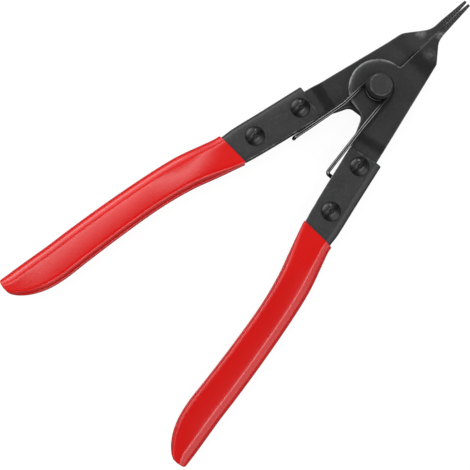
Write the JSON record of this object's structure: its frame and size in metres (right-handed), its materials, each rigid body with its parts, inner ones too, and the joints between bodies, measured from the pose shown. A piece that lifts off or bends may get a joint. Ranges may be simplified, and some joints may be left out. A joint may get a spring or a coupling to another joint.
{
  "type": "external circlip pliers",
  "caption": "Straight-nosed hand pliers that spread external retaining rings: plate jaws on one rivet pivot, hairpin return spring, channel handles with vinyl grips.",
  "frame": {"origin": "on the pivot's axis, at the flat end face of the pivot pin's peened tail, which is the side that lies on the table", "axes": "+Z along the pivot's axis, from the tail to the head of the pin, +X along the tool's centre line towards the tips, +Y towards the left handle, the one riveted to the rear jaw"},
  "size_m": [0.2286, 0.111, 0.0219],
  "materials": {
    "front_jaw_steel": "black oxide over blanked plate, satin, worn bright at the nose",
    "rear_jaw_steel": "black oxide over blanked plate, satin, worn bright at the nose",
    "channel_steel": "black oxide over pressed sheet, satin",
    "pin_steel": "black oxide over turned steel, satin, bright at the rim of its face",
    "rivet_steel": "black oxide, glossy",
    "spring_steel": "black oxide over spring wire, glossy",
    "left_vinyl": "dipped vinyl, glossy red",
    "right_vinyl": "dipped vinyl, glossy red"
  },
  "bodies": {
    "right_half": {"jaw_front": "front_jaw_steel", "channel_right": "channel_steel", "grip_right": "right_vinyl", "rivet_right_by_jaw": "rivet_steel", "rivet_right_by_grip": "rivet_steel", "pivot_pin": "pin_steel", "return_spring": "spring_steel"},
    "left_half": {"jaw_rear": "rear_jaw_steel", "channel_left": "channel_steel", "grip_left": "left_vinyl", "rivet_left_by_jaw": "rivet_steel", "rivet_left_by_grip": "rivet_steel"}
  },
  "joints": [
    {"name": "pivot", "type": "hinge", "parent": "right_half", "child": "left_half", "pos_m": [0, 0, 0], "axis": [0, 0, 1], "range_deg": [0, 24], "stiffness_Nm_per_rad": 0.75, "springref_deg": -28.65, "deforming": ["return_spring"]}
  ]
}
